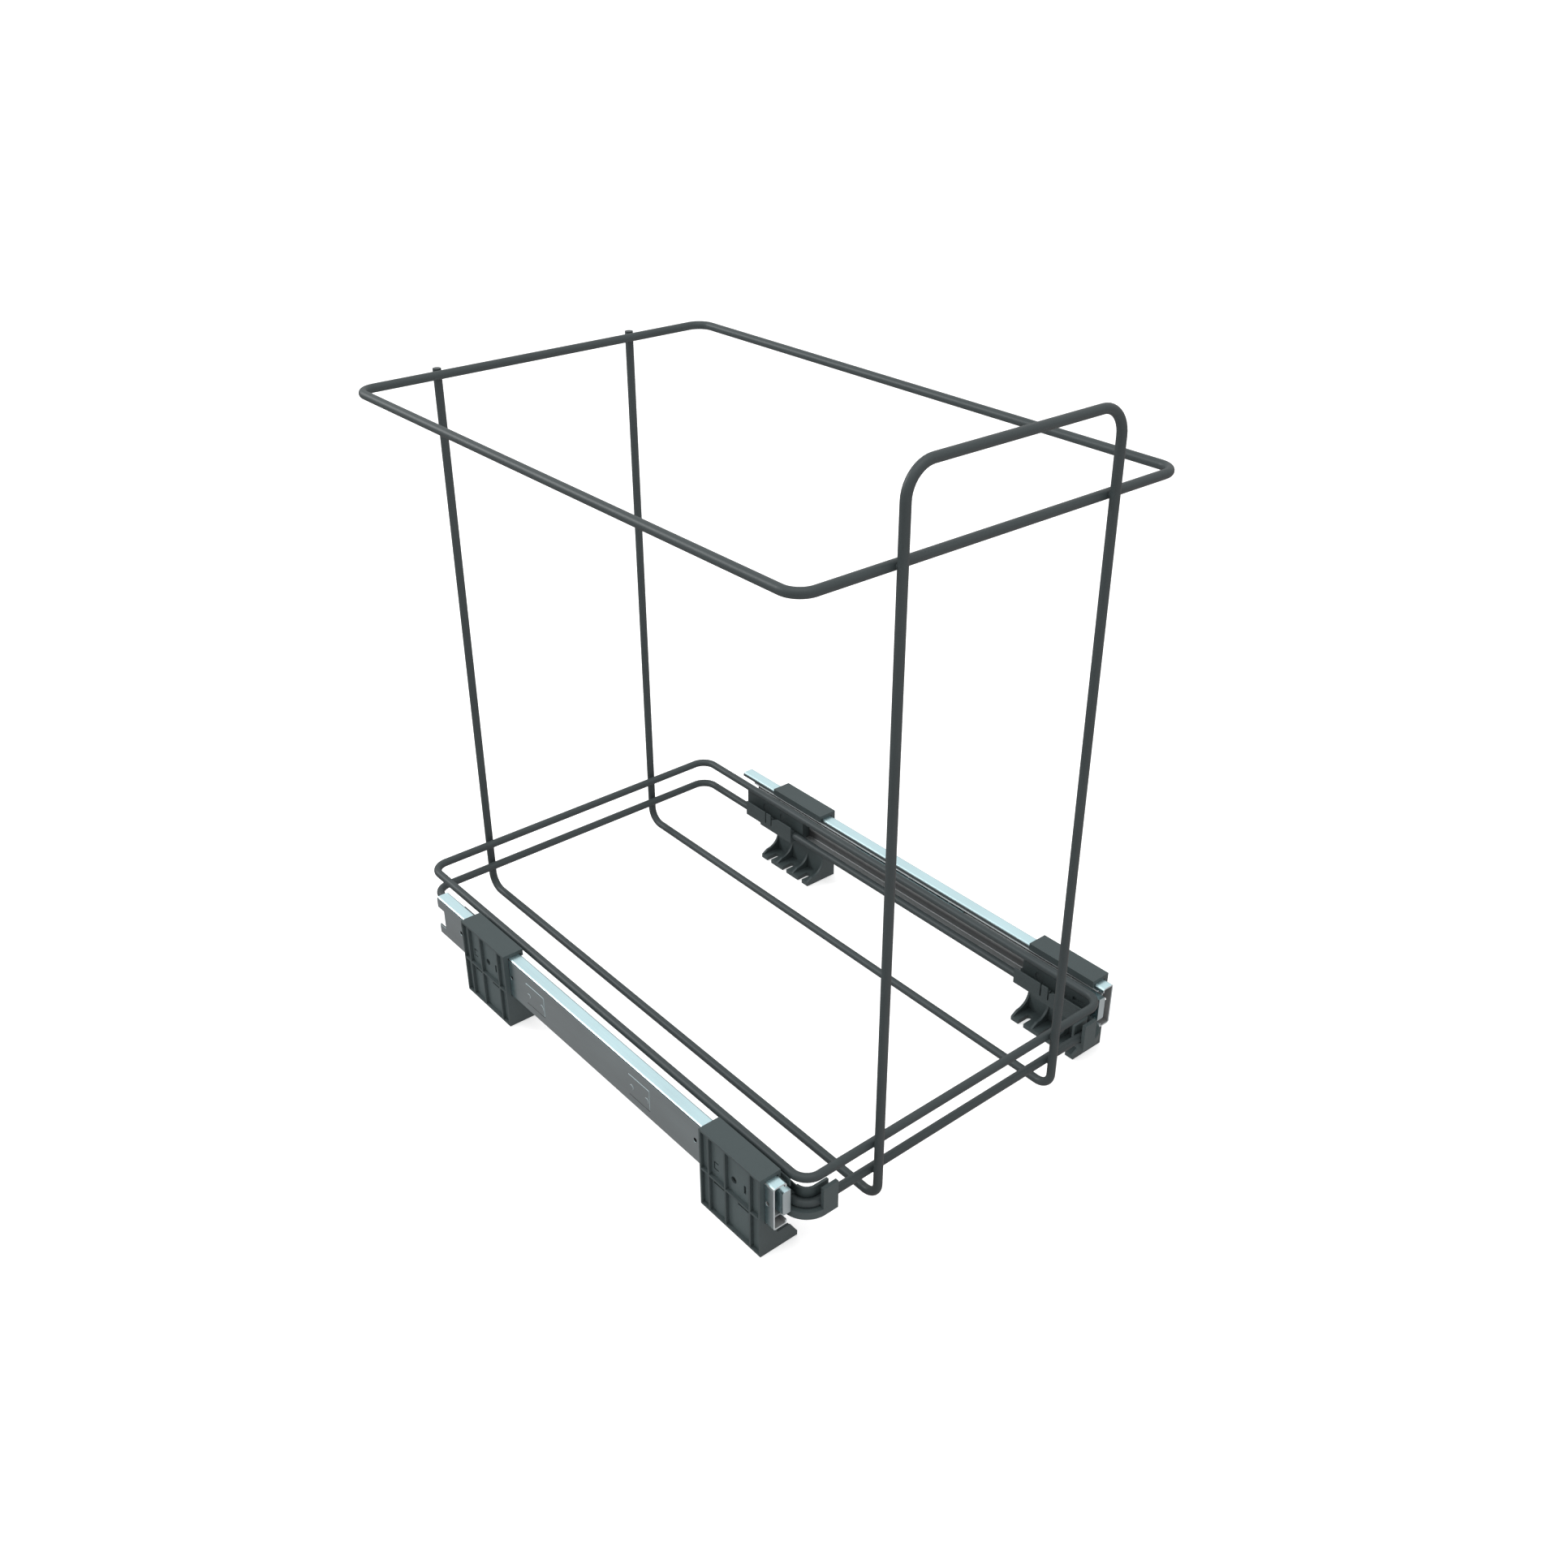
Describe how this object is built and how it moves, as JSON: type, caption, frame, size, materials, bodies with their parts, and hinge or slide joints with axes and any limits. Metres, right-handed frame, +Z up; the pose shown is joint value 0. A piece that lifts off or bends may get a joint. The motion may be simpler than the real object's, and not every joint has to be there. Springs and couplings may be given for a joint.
{
  "type": "pull out bin frame",
  "caption": "Wire carrier for a kitchen waste bin that pulls out of a base cabinet on telescopic ball slides held in moulded floor brackets.",
  "frame": {"origin": "on the cabinet floor, under the middle of the frame's outer box", "axes": "+Z up, +X across the cabinet to the right as seen from the front, +Y to the back; the handle side faces -Y"},
  "size_m": [0.3164, 0.4662, 0.4895],
  "materials": {
    "wire": "satin anthracite powder coat on steel wire",
    "moulded": "fine-grained moulded plastic",
    "zinc": "bright zinc plated sheet steel",
    "cage": "pressed sheet steel",
    "ball": "polished bearing steel",
    "screw": "zinc plated",
    "buffer": "matt rubber"
  },
  "bodies": {
    "cabinet_mount": {"bracket_front_left": "moulded", "bracket_front_right": "moulded", "bracket_back_left": "moulded", "bracket_back_right": "moulded", "outer_rail_left": "zinc", "outer_rail_right": "zinc", "rail_buffer_left": "buffer", "rail_buffer_right": "buffer"},
    "carriage": {"carrier_wire": "wire", "top_ring": "wire", "upper_base_ring": "wire", "lower_base_ring": "wire", "inner_rail_left": "zinc", "inner_rail_right": "zinc", "holder_front_left": "moulded", "holder_front_right": "moulded", "holder_back_left": "moulded", "holder_back_right": "moulded", "holder_screws_left": "screw", "holder_screws_right": "screw"},
    "middle_stage_left": {"middle_rail_left": "zinc"},
    "middle_stage_right": {"middle_rail_right": "zinc"},
    "outer_cage_left": {"outer_cage_left": "cage", "outer_balls_left": "ball"},
    "outer_cage_right": {"outer_cage_right": "cage", "outer_balls_right": "ball"},
    "inner_cage_left": {"inner_cage_left": "cage", "inner_balls_left": "ball"},
    "inner_cage_right": {"inner_cage_right": "cage", "inner_balls_right": "ball"}
  },
  "joints": [
    {"name": "carriage_slide", "type": "slide", "parent": "cabinet_mount", "child": "carriage", "axis": [0, -1, 0], "range_m": [0, 0.38]},
    {"name": "middle_slide_left", "type": "slide", "parent": "cabinet_mount", "child": "middle_stage_left", "axis": [0, -1, 0], "range_m": [0, 0.1905]},
    {"name": "middle_slide_right", "type": "slide", "parent": "cabinet_mount", "child": "middle_stage_right", "axis": [0, -1, 0], "range_m": [0, 0.1905]},
    {"name": "outer_cage_slide_left", "type": "slide", "parent": "cabinet_mount", "child": "outer_cage_left", "axis": [0, -1, 0], "range_m": [0, 0.0955]},
    {"name": "outer_cage_slide_right", "type": "slide", "parent": "cabinet_mount", "child": "outer_cage_right", "axis": [0, -1, 0], "range_m": [0, 0.0955]},
    {"name": "inner_cage_slide_left", "type": "slide", "parent": "cabinet_mount", "child": "inner_cage_left", "axis": [0, -1, 0], "range_m": [0, 0.2855]},
    {"name": "inner_cage_slide_right", "type": "slide", "parent": "cabinet_mount", "child": "inner_cage_right", "axis": [0, -1, 0], "range_m": [0, 0.2855]}
  ],
  "couplings": [
    {"joint": "middle_slide_left", "follows": "carriage_slide", "ratio": 0.5},
    {"joint": "middle_slide_right", "follows": "carriage_slide", "ratio": 0.5},
    {"joint": "outer_cage_slide_left", "follows": "carriage_slide", "ratio": 0.25},
    {"joint": "outer_cage_slide_right", "follows": "carriage_slide", "ratio": 0.25},
    {"joint": "inner_cage_slide_left", "follows": "carriage_slide", "ratio": 0.75},
    {"joint": "inner_cage_slide_right", "follows": "carriage_slide", "ratio": 0.75}
  ]
}
